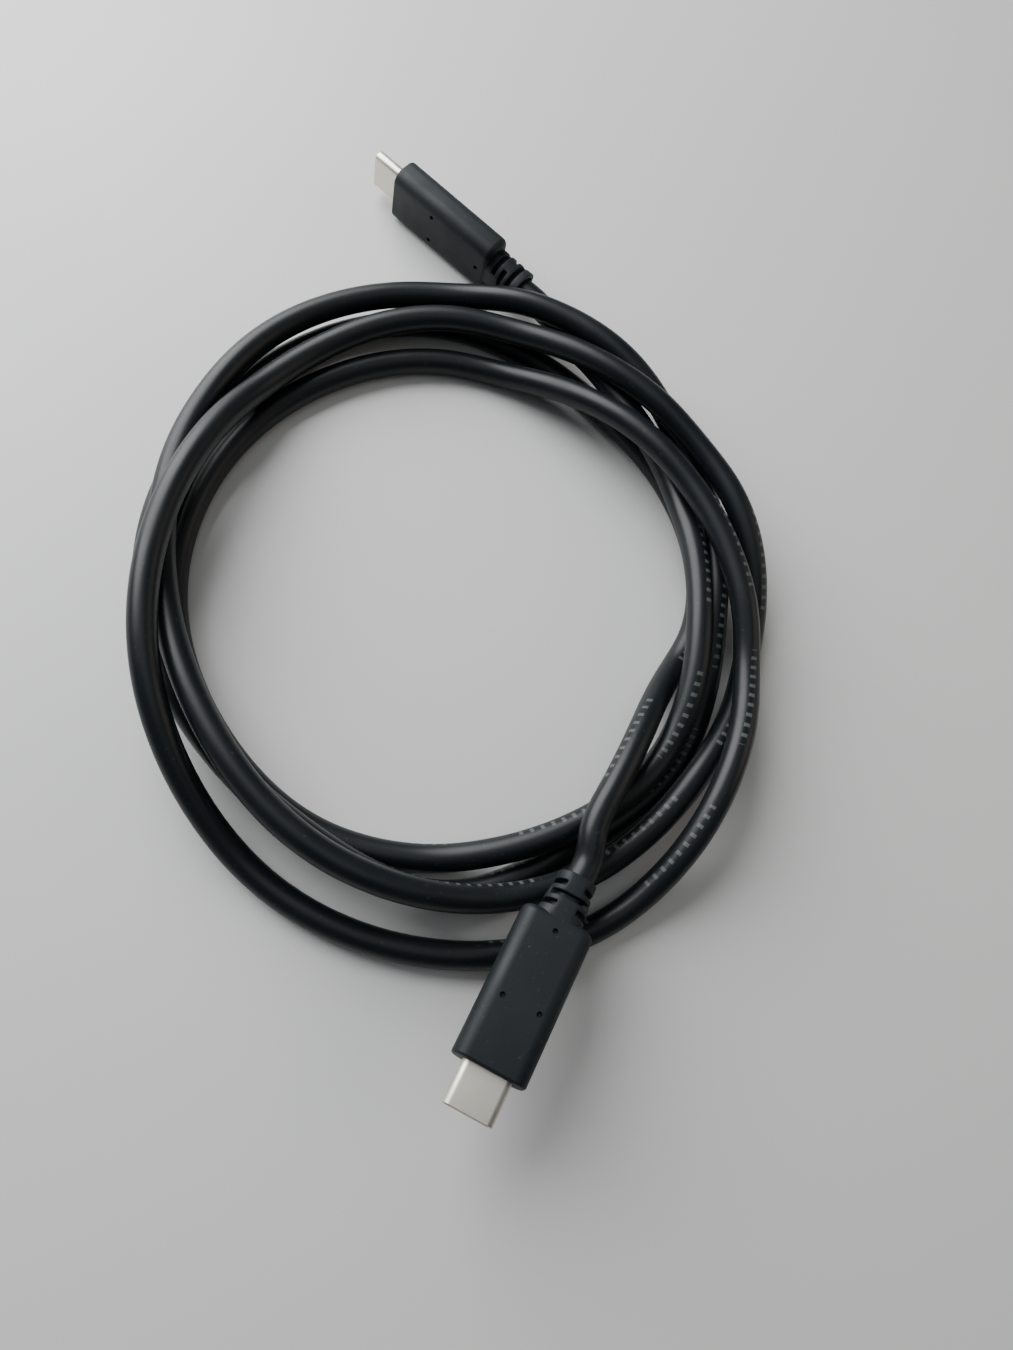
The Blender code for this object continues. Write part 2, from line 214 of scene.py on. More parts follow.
def lay_down(flat, hours, level):
    """Heights of the centre line: on the table, and just over each strand that a stretch lies on."""
    steps = np.linalg.norm(np.diff(flat, axis=0), axis=1)
    along = np.concatenate([[0.0], np.cumsum(steps)])
    between = np.abs(along[:, None] - along)
    apart = np.linalg.norm(flat[:, None] - flat, axis=2)
    clear = CABLE_D + LAY_GAP
    place = np.array([pile_place(hour) for hour in hours])
    over = (apart < clear) & (between > SAME_STRETCH) & (place[:, None] > place)
    rise = np.sqrt(np.clip(clear ** 2 - apart ** 2, 0.0, None))
    round_part = np.minimum(between, RAMP * BEND_R)
    fall = round_part ** 2 / (2 * BEND_R) + RAMP * (between - round_part)
    height = level
    for _ in range(LAY_ROUNDS):
        need = np.maximum(np.where(over, height + rise, 0.0).max(axis=1), level)
        height = (need - fall).max(axis=1)
    return even_out(height, along)


def route(start, end, reads=8):
    """The cable's centre line from relief to relief, read several times between its points."""
    ends = [(p.x, p.y) for p in start], [(p.x, p.y) for p in end]
    points = ends[0] + lead_points(LEAD_A) + coil_points() + lead_points(LEAD_B) + ends[1]
    at = smooth_curve(points)
    places = np.arange((len(points) - 1) * reads + 1) / reads
    flat = np.array([at(place) for place in places])
    first = len(start) + len(LEAD_A)
    level = np.full(len(places), CABLE_D / 2)
    level[:reads + 1] = np.linspace(start[0].z, start[1].z, reads + 1)
    level[-reads - 1:] = np.linspace(end[0].z, end[1].z, reads + 1)
    hours = places - first + 1
    return np.column_stack([flat, lay_down(flat, hours, level)]), hours


line, line_hours = route(cable_exit(PLUG_A), cable_exit(PLUG_B)[::-1])
line = line + np.array(COIL.translation)

# %% [markdown]
# ## The jacket
#
# The jacket is a smooth round tube. A curve with a bevel would do, but the printed marks follow the cable,
# so the tube is a mesh with its own UV map: U is the length along the cable in metres and V goes once round
# it. A coiled cable takes one full twist with each turn of the coil, which is why the marks on a real coil
# face up on one side of it and hide on the other. The tube is given that twist.

# %% The jacket's mesh
TUBE_STEP = 1.2 * MM          # length of one ring of faces
TUBE_SIDES = 32
MARKS_UP_HOUR = 3.6           # the hour of the clock face at which the marks face up
FINE_READS = 6                # readings between two points, from which the even steps are taken


def even_steps(points, hours, step):
    """The same line read at even steps, with the hour of each point."""
    at = smooth_curve(points)
    fine = np.arange((len(points) - 1) * FINE_READS + 1) / FINE_READS
    curve = np.array([at(place) for place in fine])
    along = np.concatenate([[0.0], np.cumsum(np.linalg.norm(np.diff(curve, axis=0), axis=1))])
    wanted = np.linspace(0.0, along[-1], round(along[-1] / step) + 1)
    place = np.interp(wanted, along, fine)
    even = np.array([at(p) for p in place])
    return even, wanted, np.interp(place, np.arange(len(hours)), hours)


def tube_rings(points, hours, radius, sides):
    """Rings of points round the line; V = 0 faces up where the hour is MARKS_UP_HOUR."""
    ahead = np.gradient(points, axis=0)
    ahead /= np.linalg.norm(ahead, axis=1)[:, None]
    side = np.cross(ahead, (0.0, 0.0, 1.0))
    side /= np.linalg.norm(side, axis=1)[:, None]
    up = np.cross(side, ahead)
    twist = (hours - MARKS_UP_HOUR) * HOUR
    angle = twist[:, None] + np.linspace(0.0, 2 * math.pi, sides, endpoint=False)
    spread = np.cos(angle)[..., None] * up[:, None] + np.sin(angle)[..., None] * side[:, None]
    return points[:, None] + radius * spread


def tube_mesh(name, rings, along):
    count, sides = rings.shape[:2]
    corner = np.arange(count * sides).reshape(count, sides)
    beside = np.roll(corner, -1, axis=1)
    quads = np.stack([corner[:-1], corner[1:], beside[1:], beside[:-1]], axis=-1).reshape(-1, 4)
    caps = [corner[0].tolist(), corner[-1][::-1].tolist()]
    mesh = bpy.data.meshes.new(name)
    mesh.from_pydata(rings.reshape(-1, 3).tolist(), [], quads.tolist() + caps)
    around = np.arange(sides) / sides
    u = np.stack([np.repeat(along[i], sides) for i in range(count)])
    v = np.tile(around, (count, 1))
    next_v = v + 1 / sides
    uv = np.stack([u[:-1], v[:-1], u[1:], v[1:], u[1:], next_v[1:], u[:-1], next_v[:-1]], axis=-1)
    cap_uv = np.column_stack([np.repeat(along[[0, -1]], sides), np.tile(around, 2)])
    layer = mesh.uv_layers.new(name="along_the_cable")
    layer.uv.foreach_set("vector", np.concatenate([uv.ravel(), cap_uv.ravel()]))
    mesh.shade_smooth()
    return mesh


path, path_along, path_hours = even_steps(line, line_hours, TUBE_STEP)
rings = tube_rings(path, path_hours, CABLE_D / 2, TUBE_SIDES)
jacket = bpy.data.objects.new("cable_jacket", tube_mesh("cable_jacket", rings, path_along))
bpy.context.scene.collection.objects.link(jacket)

# %% [markdown]
# ## Small helpers for modelling by hand
#
# Each new piece starts as a primitive and is shaped in edit mode. An operator acts on all that is selected,
# so these helpers first put everything else aside and then pick edges or faces by where they are.

# %% Helpers
SAME_PLACE = 0.001 * MM       # points closer than this count as one place
ALONG_X_LEAST = 0.01 * MM     # an edge that gains more than this along X runs along X
FULL_ROUND = 0.49             # corner radius of a fully rounded side, as a share of the thickness


def take_up(piece):
    """Makes this the only selected piece, and the active one."""
    bpy.ops.object.select_all(action="DESELECT")
    piece.select_set(True)
    bpy.context.view_layer.objects.active = piece


def pick(piece, kind, test):
    """In edit mode, selects the edges or faces that pass the test, and nothing else."""
    bpy.ops.mesh.select_mode(type=kind)
    bpy.ops.mesh.select_all(action="DESELECT")
    bm = bmesh.from_edit_mesh(piece.data)
    for element in (bm.faces if kind == "FACE" else bm.edges):
        if test(element):
            element.select_set(True)
    bm.select_flush_mode()
    bmesh.update_edit_mesh(piece.data)


def along_x(edge):
    return abs(edge.verts[0].co.x - edge.verts[1].co.x) > ALONG_X_LEAST


def lies_at(x):
    """A test for the edges or faces that lie in the plane at x."""
    return lambda element: all(abs(v.co.x - x) < SAME_PLACE for v in element.verts)


def bevel_picked(width, segments):
    bpy.ops.mesh.bevel(offset_type="OFFSET", offset=width, segments=segments, profile=0.5, affect="EDGES")


def apply_modifier(piece, kind, **settings):
    take_up(piece)
    modifier = piece.modifiers.new(kind.lower(), kind)
    for name, value in settings.items():
        setattr(modifier, name, value)
    bpy.ops.object.modifier_apply(modifier=modifier.name)


def join_on(piece, other, operation):
    """Cuts the other piece out of this one, or unites the two, and removes the other."""
    apply_modifier(piece, "BOOLEAN", object=other, operation=operation, solver="EXACT")
    bpy.data.objects.remove(other)


def rounded_block(name, x0, x1, width, thickness, radius, segments):
    """A cube primitive stretched along X, with its four long edges rounded."""
    bpy.ops.object.select_all(action="DESELECT")
    bpy.ops.mesh.primitive_cube_add(size=1, location=((x0 + x1) / 2, 0, 0))
    piece = bpy.context.object
    piece.name = name
    piece.scale = (x1 - x0, width, thickness)
    bpy.ops.object.transform_apply(location=True, rotation=False, scale=True)
    bpy.ops.object.mode_set(mode="EDIT")
    pick(piece, "EDGE", along_x)
    bevel_picked(radius, segments)
    bpy.ops.object.mode_set(mode="OBJECT")
    return piece


def smooth_by_angle(piece, degrees):
    take_up(piece)
    bpy.ops.object.shade_smooth_by_angle(angle=math.radians(degrees))


# %% [markdown]
# ## The grip
#
# The grip is moulded over the back of the metal shell. It is a flat block with four well rounded long edges,
# a crisp front and softer rear shoulders. Bevels make all of these. A pocket at the front takes the shell,
# and three small round marks on each flat face are where pins held the inner parts in the mould.

# %% The grip's block, pocket and pin marks
MOULD_SIDE_R = 2.4 * MM
MOULD_REAR_R = 1.2 * MM
MOULD_FRONT_R = 0.4 * MM
FIT_GAP = 0.3 * MM
SHELL_W = 8.25 * MM
SHELL_T = 2.40 * MM
SHELL_IN = 1.5 * MM           # length of the shell inside the grip
PIN_HOLE_D = 0.9 * MM
PIN_HOLE_DEPTH = 0.6 * MM
PIN_MOUTH_SHARE = 1.3         # width of the cutting cone outside, as a share of the mark's
PIN_BOTTOM_SHARE = 0.8        # and its width inside
PIN_PAIR_X = 10.2 * MM
PIN_PAIR_APART = 6.2 * MM
PIN_REAR_X = 22.4 * MM


def grip_block(name):
    piece = rounded_block(name, -MOULD_L, 0.0, MOULD_W, MOULD_T, MOULD_SIDE_R, 10)
    bpy.ops.object.mode_set(mode="EDIT")
    pick(piece, "EDGE", lies_at(-MOULD_L))
    bevel_picked(MOULD_REAR_R, 6)
    pick(piece, "EDGE", lies_at(0.0))
    bevel_picked(MOULD_FRONT_R, 3)
    bpy.ops.object.mode_set(mode="OBJECT")
    return piece


def cut_pocket(piece):
    width, thickness = SHELL_W + FIT_GAP, SHELL_T + FIT_GAP
    radius = thickness * FULL_ROUND
    pocket = rounded_block("pocket", -SHELL_IN - FIT_GAP, MOULD_T, width, thickness, radius, 8)
    join_on(piece, pocket, "DIFFERENCE")


def cut_pin_marks(piece):
    """Each mark is a short cylinder with its end drawn in, sunk into the flat face."""
    spots = ((-PIN_PAIR_X, PIN_PAIR_APART / 2), (-PIN_PAIR_X, -PIN_PAIR_APART / 2), (-PIN_REAR_X, 0.0))
    for face in (-1, 1):
        shares = (PIN_MOUTH_SHARE, PIN_BOTTOM_SHARE) if face > 0 else (PIN_BOTTOM_SHARE, PIN_MOUTH_SHARE)
        turn = math.pi if face > 0 else 0
        for x, y in spots:
            bpy.ops.object.select_all(action="DESELECT")
            bpy.ops.mesh.primitive_cone_add(
                vertices=24, radius1=PIN_HOLE_D / 2 * shares[0], radius2=PIN_HOLE_D / 2 * shares[1],
                depth=2 * PIN_HOLE_DEPTH, location=(x, y, face * MOULD_T / 2), rotation=(turn, 0, 0))
            join_on(piece, bpy.context.object, "DIFFERENCE")


# %% [markdown]
# ## The strain relief
#
# Behind the grip the moulding tapers to a round collar round the cable. Rings of slots let it bend: two slots
# lie opposite each other, and each ring is turned a quarter against the next. It is drawn out of the end face
# of a block, step by step. The faces of each slot are then extruded towards the middle, and a small bevel
# softens all the edges as a mould does.

# %% The strain relief
RELIEF_ROOT_W = 8.0 * MM
RELIEF_ROOT_T = 6.0 * MM
RELIEF_END_D = 6.6 * MM
COLLAR_L = 1.6 * MM
SLOT_L = 0.9 * MM
SLOT_PITCH = 1.8 * MM
SLOT_CORE_R = 2.1 * MM
SLOT_REACH = 0.30             # the least sideways lean of the faces that a slot takes in
RELIEF_SOFT = 0.16 * MM       # rounding of the ribs' edges
RELIEF_ROUNDNESS = 0.46       # corner radius of its section, as a share of the section's size
RELIEF_START_L = 0.2 * MM     # length of the block that the relief is drawn out of
SOCKET_PLAY = 0.1 * MM        # clearance between the cable and the rim of its recess


def relief_share(x):
    """0 at the relief's root and 1 from the collar on."""
    return min(max((-MOULD_L - x) / (RELIEF_L - COLLAR_L), 0.0), 1.0)


def relief_size(x):
    share = relief_share(x)
    width = RELIEF_ROOT_W + (RELIEF_END_D - RELIEF_ROOT_W) * share
    thickness = RELIEF_ROOT_T + (RELIEF_END_D - RELIEF_ROOT_T) * share
    return width, thickness


def draw_out(piece, x0, x1):
    """Extrudes the end face at x0 to x1 and sizes it for its new place."""
    old, new = relief_size(x0), relief_size(x1)
    pick(piece, "FACE", lies_at(x0))
    bpy.ops.mesh.extrude_region_move(TRANSFORM_OT_translate={"value": (x1 - x0, 0, 0)})
    bpy.ops.transform.resize(value=(1, new[0] / old[0], new[1] / old[1]), center_override=(x1, 0, 0))


def cut_slots(piece, low, on_sides):
    """Pushes in the faces of one ring: those that look sideways, or those that look up and down."""
    def in_slot(face):
        lean = face.normal.y if on_sides else face.normal.z
        middle = face.calc_center_median().x
        return low < middle < low + SLOT_L and abs(lean) > SLOT_REACH

    half = min(relief_size(low)) / 2
    pick(piece, "FACE", in_slot)
    bpy.ops.mesh.extrude_region_move(TRANSFORM_OT_translate={"value": (0, 0, 0)})
    bpy.ops.transform.resize(value=(1, SLOT_CORE_R / half, SLOT_CORE_R / half), center_override=(low, 0, 0))


def socket_in(piece, end):
    """The recess that the cable enters: the end face is inset and pushed in."""
    rim = (RELIEF_END_D - CABLE_D) / 2 - SOCKET_PLAY
    pick(piece, "FACE", lies_at(end))
    bpy.ops.mesh.inset(thickness=rim, depth=0)
    bpy.ops.mesh.extrude_region_move(TRANSFORM_OT_translate={"value": (SOCKET_DEPTH + FIT_GAP, 0, 0)})


def strain_relief(name):
    end = -MOULD_L - RELIEF_L
    root = -MOULD_L + MOULD_REAR_R + FIT_GAP
    start = root - RELIEF_START_L
    width, thickness = relief_size(root)
    piece = rounded_block(name, start, root, width, thickness, min(width, thickness) * RELIEF_ROUNDNESS, 7)
    lows = [end + COLLAR_L + SLOT_PITCH * ring for ring in (2, 1, 0)]
    stops = [start, -MOULD_L] + [x for low in lows for x in (low + SLOT_L, low)] + [end]
    bpy.ops.object.mode_set(mode="EDIT")
    for x0, x1 in zip(stops, stops[1:]):
        draw_out(piece, x0, x1)
    for low, on_sides in zip(lows, (True, False, True)):
        cut_slots(piece, low, on_sides)
    socket_in(piece, end)
    bpy.ops.object.mode_set(mode="OBJECT")
    apply_modifier(piece, "BEVEL", width=RELIEF_SOFT, segments=3, limit_method="ANGLE",
                   angle_limit=math.radians(40))
    return piece


def moulding(plug):
    piece = grip_block(f"{plug}_moulding")
    join_on(piece, strain_relief("relief"), "UNION")
    cut_pocket(piece)
    cut_pin_marks(piece)
    smooth_by_angle(piece, 40)
    return piece


# %% [markdown]
# ## The metal shell
#
# The shell is a flattened tube of thin steel that is drawn from one sheet. A block with fully rounded sides
# is opened at both ends and gets its wall from Solidify. The rim at the mouth is rounded, so that it finds
# its way into a socket and catches a bright line of light.

# %% The shell
SHELL_WALL = 0.30 * MM
SHELL_OUT = 6.65 * MM
RIM_SOFT = 0.10 * MM


def metal_shell(plug):
    piece = rounded_block(f"{plug}_metal_shell", -SHELL_IN, SHELL_OUT, SHELL_W, SHELL_T,
                          SHELL_T * FULL_ROUND, 12)
    bpy.ops.object.mode_set(mode="EDIT")
    pick(piece, "FACE", lambda face: abs(face.normal.x) > 0.9)
    bpy.ops.mesh.delete(type="ONLY_FACE")
    bpy.ops.object.mode_set(mode="OBJECT")
    apply_modifier(piece, "SOLIDIFY", thickness=SHELL_WALL, offset=-1.0, use_even_offset=True)
    bpy.ops.object.mode_set(mode="EDIT")
    pick(piece, "EDGE", lambda edge: lies_at(SHELL_OUT)(edge) and len(edge.link_faces) == 2
         and any(abs(face.normal.x) < 0.5 for face in edge.link_faces))
    bevel_picked(RIM_SOFT, 3)
    bpy.ops.object.mode_set(mode="OBJECT")
    smooth_by_angle(piece, 50)
    return piece


def map_along(piece):
    """A UV map in centimetres: U along the plug, and V across it and over its sides."""
    layer = piece.data.uv_layers.new(name="along_the_plug")
    for loop in piece.data.loops:
        place = piece.data.vertices[loop.vertex_index].co
        layer.uv[loop.index].vector = (place.x * 100, (place.y + place.z) * 100)


# %% [markdown]
# ## Contacts and latches
#
# Inside the mouth two rows of twelve sprung contacts face each other, and a steel latch holds on at each
# side. One contact is modelled as a thin strip with a crown in the middle. It is then copied along the row.

# %% The contacts and latches
INSERT_BACK = 0.9 * MM        # how far the insert lies behind the shell's rim
INSERT_SLOT_W = 6.7 * MM
INSERT_SLOT_T = 0.8 * MM
CONTACT_W = 0.26 * MM
CONTACT_PITCH = 0.5 * MM
CONTACTS_IN_ROW = 12
CONTACT_T = 0.12 * MM
CONTACT_L = 3.6 * MM
CONTACT_BACK = 0.3 * MM       # how far its front end lies behind the insert's front
CONTACT_SOFT = 0.2            # its edges' rounding, as a share of its thickness
CROWN = 0.16 * MM             # how far a contact's crown stands up
CROWN_PLACE = 0.3             # its middle, from the front end, as a share of the contact's length
CROWN_HALF_L = 0.8 * MM
LATCH_T = 0.5 * MM


def sprung_strip(name, width, thickness):
    """A thin strip that lies along X and has a crown, with its front end behind the insert's front."""
    front = SHELL_OUT - INSERT_BACK - CONTACT_BACK
    middle = front - CONTACT_L * CROWN_PLACE
    soft = min(width, thickness) * CONTACT_SOFT
    piece = rounded_block(name, front - CONTACT_L, front, width, thickness, soft, 2)
    bpy.ops.object.mode_set(mode="EDIT")
    pick(piece, "EDGE", along_x)
    bpy.ops.mesh.subdivide(number_cuts=7)
    pick(piece, "EDGE",
         lambda edge: not along_x(edge) and abs(edge.verts[0].co.x - middle) < CROWN_HALF_L)
    bpy.ops.transform.translate(value=(0, 0, CROWN))
    bpy.ops.object.mode_set(mode="OBJECT")
    return piece


def copies(piece, matrices):
    """Copies of the piece at these places, joined into it; the piece itself takes the first place."""
    made = []
    for matrix in matrices[1:]:
        twin = piece.copy()
        twin.data = piece.data.copy()
        twin.data.transform(matrix)
        bpy.context.scene.collection.objects.link(twin)
        made.append(twin)
    piece.data.transform(matrices[0])
    take_up(piece)
    for twin in made:
        twin.select_set(True)
    bpy.ops.object.join()
    return piece


def contacts(plug):
    strip = sprung_strip(f"{plug}_contacts", CONTACT_W, CONTACT_T)
    floor_z = -INSERT_SLOT_T / 2 + CONTACT_T / 4
    places = []
    for over in (0.0, math.pi):
        for n in range(CONTACTS_IN_ROW):
            y = (n - (CONTACTS_IN_ROW - 1) / 2) * CONTACT_PITCH
            places.append(Matrix.Rotation(over, 4, "X") @ Matrix.Translation((0, y, floor_z)))
    return copies(strip, places)


def latches(plug):
    strip = sprung_strip(f"{plug}_latches", LATCH_T, CONTACT_T)
    wall = Matrix.Translation((0, 0, -INSERT_SLOT_W / 2 + CONTACT_T / 4))
    return copies(strip, [Matrix.Rotation(math.radians(side), 4, "X") @ wall for side in (90, -90)])


# %% [markdown]
# ## Finishes
#
# All the plastics share two effects, which are node groups here. Fine grain is the dull skin that a mould
# leaves, made as a bump. Handling wear makes the gloss uneven, as fingers and dust do. Each material places
# them with its own values.

# %% Shared effects
def new_group(name, inputs, outputs):
    group = bpy.data.node_groups.new(name, "ShaderNodeTree")
    for label, value in inputs:
        socket = group.interface.new_socket(label, in_out="INPUT", socket_type="NodeSocketFloat")
        socket.default_value = value
    for label, kind in outputs:
        group.interface.new_socket(label, in_out="OUTPUT", socket_type=kind)
    return group, group.nodes.new("NodeGroupInput"), group.nodes.new("NodeGroupOutput")


def make_grain_group():
    group, given, out = new_group(
        "fine_grain", (("Scale", 2500.0), ("Depth", 0.2)), (("Normal", "NodeSocketVector"),))
    nodes, links = group.nodes, group.links
    place = nodes.new("ShaderNodeTexCoord")
    noise = nodes.new("ShaderNodeTexNoise")
    noise.inputs["Detail"].default_value = 3.0
    bump = nodes.new("ShaderNodeBump")
    bump.inputs["Distance"].default_value = 0.05 * MM
    links.new(place.outputs["Object"], noise.inputs["Vector"])
    links.new(given.outputs["Scale"], noise.inputs["Scale"])
    links.new(noise.outputs["Fac"], bump.inputs["Height"])
    links.new(given.outputs["Depth"], bump.inputs["Strength"])
    links.new(bump.outputs["Normal"], out.inputs["Normal"])
    return group


def make_wear_group():
    group, given, out = new_group(
        "handling_wear", (("Scale", 90.0), ("Smooth", 0.36), ("Rough", 0.5)),
        (("Roughness", "NodeSocketFloat"), ("Dust", "NodeSocketFloat")))
    nodes, links = group.nodes, group.links
    place = nodes.new("ShaderNodeTexCoord")
    broad = nodes.new("ShaderNodeTexNoise")
    broad.inputs["Detail"].default_value = 4.0
    gloss = nodes.new("ShaderNodeMapRange")
    gloss.inputs["From Min"].default_value = 0.35
    gloss.inputs["From Max"].default_value = 0.65
    specks = nodes.new("ShaderNodeTexNoise")
    specks.inputs["Scale"].default_value = 1400.0
    specks.inputs["Detail"].default_value = 1.0
    dust = nodes.new("ShaderNodeMapRange")
    dust.inputs["From Min"].default_value = 0.70
    dust.inputs["From Max"].default_value = 0.80
    links.new(place.outputs["Object"], broad.inputs["Vector"])
    links.new(given.outputs["Scale"], broad.inputs["Scale"])
    links.new(broad.outputs["Fac"], gloss.inputs["Value"])
    links.new(given.outputs["Smooth"], gloss.inputs["To Min"])
    links.new(given.outputs["Rough"], gloss.inputs["To Max"])
    links.new(gloss.outputs["Result"], out.inputs["Roughness"])
    links.new(place.outputs["Object"], specks.inputs["Vector"])
    links.new(specks.outputs["Fac"], dust.inputs["Value"])
    links.new(dust.outputs["Result"], out.inputs["Dust"])
    return group


GRAIN = make_grain_group()
WEAR = make_wear_group()


def new_material(name, metallic=0.0):
    made = bpy.data.materials.new(name)
    made.use_nodes = True
    shader = made.node_tree.nodes["Principled BSDF"]
    shader.inputs["Metallic"].default_value = metallic
    return made, shader


def add_group(made, group, **values):
    node = made.node_tree.nodes.new("ShaderNodeGroup")
    node.node_tree = group
    for label, value in values.items():
        node.inputs[label].default_value = value
    return node


def add_math(made, operation, first, second=0.0):
    """A Math node; each of the two values is a number or the output of another node."""
    node = made.node_tree.nodes.new("ShaderNodeMath")
    node.operation = operation
    for socket, value in zip(node.inputs, (first, second)):
        if isinstance(value, (int, float)):
            socket.default_value = value
        else:
            made.node_tree.links.new(value, socket)
    return node.outputs["Value"]


def add_mix(made, share, low, high):
    """Mixes two colours, each a tuple or the output of another node, by a share that varies."""
    node = made.node_tree.nodes.new("ShaderNodeMix")
    node.data_type = "RGBA"
    made.node_tree.links.new(share, node.inputs["Factor"])
    for socket, value in ((node.inputs["A"], low), (node.inputs["B"], high)):
        if isinstance(value, tuple):
            socket.default_value = (*value, 1.0)
        else:
            made.node_tree.links.new(value, socket)
    return node.outputs["Result"]


# %% [markdown]
# ### Jacket plastic
#
# The jacket is a soft black plastic with a faint blue cast and a satin gloss. A cable carries a line of pale
# print. Here it is a plain run of small upright ticks, such as length marks, on the side where V is 0.

# %% The jacket's material
TICK_PITCH = 1.9 * MM
TICK_SHARE = 0.34             # width of a tick as a share of the pitch
TICK_HALF_HEIGHT = 0.55 * MM
TICK_GROUP = 30.0 * MM        # length of one group of ticks with the space after it
TICK_GROUP_SHARE = 0.62
TICK_STRENGTH = 0.40          # how strongly the ticks cover the jacket's colour


def tick_mask(made):
    """1 on the printed ticks and 0 elsewhere, from the UV map along the cable."""
    nodes, links = made.node_tree.nodes, made.node_tree.links
    place = nodes.new("ShaderNodeUVMap")
    place.uv_map = "along_the_cable"
    split = nodes.new("ShaderNodeSeparateXYZ")
    links.new(place.outputs["UV"], split.inputs["Vector"])
    along, around = split.outputs["X"], split.outputs["Y"]
    in_tick = add_math(made, "FRACT", add_math(made, "DIVIDE", along, TICK_PITCH))
    in_tick = add_math(made, "LESS_THAN", in_tick, TICK_SHARE)
    in_group = add_math(made, "FRACT", add_math(made, "DIVIDE", along, TICK_GROUP))
    in_group = add_math(made, "LESS_THAN", in_group, TICK_GROUP_SHARE)
    half = TICK_HALF_HEIGHT / (math.pi * CABLE_D)
    off_line = add_math(made, "PINGPONG", around, 0.5)
    on_line = add_math(made, "LESS_THAN", off_line, half)
    return add_math(made, "MULTIPLY", add_math(made, "MULTIPLY", in_tick, in_group), on_line)


def jacket_material():
    made, shader = new_material("jacket_plastic")
    links = made.node_tree.links
    shader.inputs["Specular IOR Level"].default_value = 0.32
    wear = add_group(made, WEAR, Scale=70.0, Smooth=0.34, Rough=0.44)
    grain = add_group(made, GRAIN, Scale=1800.0, Depth=0.10)
    dusty = add_mix(made, wear.outputs["Dust"], (0.0042, 0.0060, 0.0074), (0.020, 0.022, 0.024))
    print_faint = add_math(made, "MULTIPLY", tick_mask(made), TICK_STRENGTH)
    colour = add_mix(made, print_faint, dusty, (0.16, 0.18, 0.18))
    links.new(colour, shader.inputs["Base Color"])
    links.new(wear.outputs["Roughness"], shader.inputs["Roughness"])
    links.new(grain.outputs["Normal"], shader.inputs["Normal"])
    return made


# %% [markdown]
# ### Moulded plastic, steel and gold
#
# The mouldings are duller than the jacket and have a finer, deeper grain. The shell is nickel-plated steel
# with a fine brushed grain along it. The contacts are gold-plated, and the insert is hard black plastic.

# %% The other materials of the object
def moulding_material():
    made, shader = new_material("moulded_plastic")
    links = made.node_tree.links
    shader.inputs["Specular IOR Level"].default_value = 0.30
    wear = add_group(made, WEAR, Scale=160.0, Smooth=0.50, Rough=0.62)
    grain = add_group(made, GRAIN, Scale=4200.0, Depth=0.45)
    colour = add_mix(made, wear.outputs["Dust"], (0.0060, 0.0090, 0.0110), (0.022, 0.025, 0.028))
    links.new(colour, shader.inputs["Base Color"])
    links.new(wear.outputs["Roughness"], shader.inputs["Roughness"])
    links.new(grain.outputs["Normal"], shader.inputs["Normal"])
    return made


def insert_material():
    made, shader = new_material("insert_plastic")
    links = made.node_tree.links
    wear = add_group(made, WEAR, Scale=400.0, Smooth=0.40, Rough=0.52)
    colour = add_mix(made, wear.outputs["Dust"], (0.012, 0.012, 0.013), (0.022, 0.022, 0.022))
    links.new(colour, shader.inputs["Base Color"])
    links.new(wear.outputs["Roughness"], shader.inputs["Roughness"])
    return made


def steel_material():
    made, shader = new_material("nickel_plated_steel", metallic=1.0)
    nodes, links = made.node_tree.nodes, made.node_tree.links
    place = nodes.new("ShaderNodeUVMap")
    place.uv_map = "along_the_plug"
    stretch = nodes.new("ShaderNodeMapping")
    stretch.inputs["Scale"].default_value = (4.0, 160.0, 1.0)
    brushed = nodes.new("ShaderNodeTexNoise")
    brushed.inputs["Scale"].default_value = 1.0
    brushed.inputs["Detail"].default_value = 2.0
    bump = nodes.new("ShaderNodeBump")
    bump.inputs["Strength"].default_value = 0.12
    bump.inputs["Distance"].default_value = 0.01 * MM
    wear = add_group(made, WEAR, Scale=260.0, Smooth=0.36, Rough=0.46)
    links.new(place.outputs["UV"], stretch.inputs["Vector"])
    links.new(stretch.outputs["Vector"], brushed.inputs["Vector"])
    links.new(brushed.outputs["Fac"], bump.inputs["Height"])
    colour = add_mix(made, brushed.outputs["Fac"], (0.66, 0.63, 0.55), (0.76, 0.73, 0.64))
    links.new(colour, shader.inputs["Base Color"])
    links.new(wear.outputs["Roughness"], shader.inputs["Roughness"])
    links.new(bump.outputs["Normal"], shader.inputs["Normal"])
    return made


def gold_material():
    made, shader = new_material("gold_plating", metallic=1.0)
    links = made.node_tree.links
    wear = add_group(made, WEAR, Scale=900.0, Smooth=0.22, Rough=0.34)
    colour = add_mix(made, wear.outputs["Dust"], (0.80, 0.58, 0.26), (0.62, 0.46, 0.24))
    links.new(colour, shader.inputs["Base Color"])
    links.new(wear.outputs["Roughness"], shader.inputs["Roughness"])
    return made


JACKET = jacket_material()
MOULDED = moulding_material()
HARD_PLASTIC = insert_material()
STEEL = steel_material()
GOLD = gold_material()

# %% [markdown]
# ## Putting the pieces in place
#
# Each piece is finished in the plug's own frame, and its mesh is then moved to the plug's place. The plain
# solid that it stands for is hidden. The plastic inserts are right as they are and only get their finish.

# %% Both plugs
def finish_piece(piece, plug, material, stands_for=None):
    piece.data.transform(PLUGS[plug])
    piece.data.materials.clear()
    piece.data.materials.append(material)
    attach(piece, "root")
    if stands_for:
        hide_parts(stands_for)
    return piece


